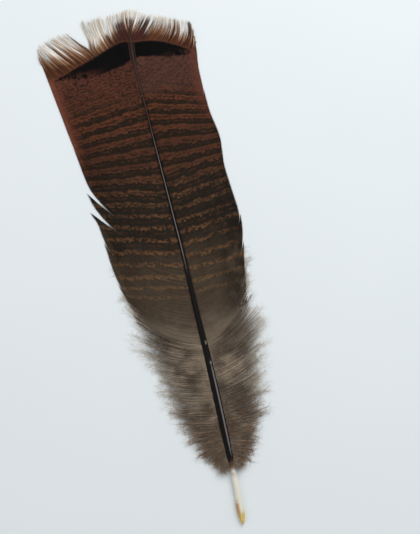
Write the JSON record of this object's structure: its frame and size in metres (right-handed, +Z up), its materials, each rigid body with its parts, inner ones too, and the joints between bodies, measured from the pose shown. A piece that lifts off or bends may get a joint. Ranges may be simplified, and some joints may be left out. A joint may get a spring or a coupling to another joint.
{
  "type": "turkey tail covert feather",
  "caption": "Broad bird feather with a bare tapered quill, down at its base, a dark banded vane and a loose pale fringe at its squared tip.",
  "frame": {"origin": "on the surface that the feather lies on, under the middle of its outline", "axes": "+Y from the end of the quill to the fringed tip, +Z up out of the patterned outer face"},
  "size_m": [0.0592, 0.1904, 0.0061],
  "materials": {
    "feather": "soft banded feather vane, dark brown and rust with a pale fringe",
    "shaft": "glossy horn, blackish brown, pale at the quill",
    "down": "soft grey-brown down",
    "fringe": "loose cream barb ends"
  },
  "bodies": {
    "root": {"feather": "feather"}
  },
  "joints": []
}
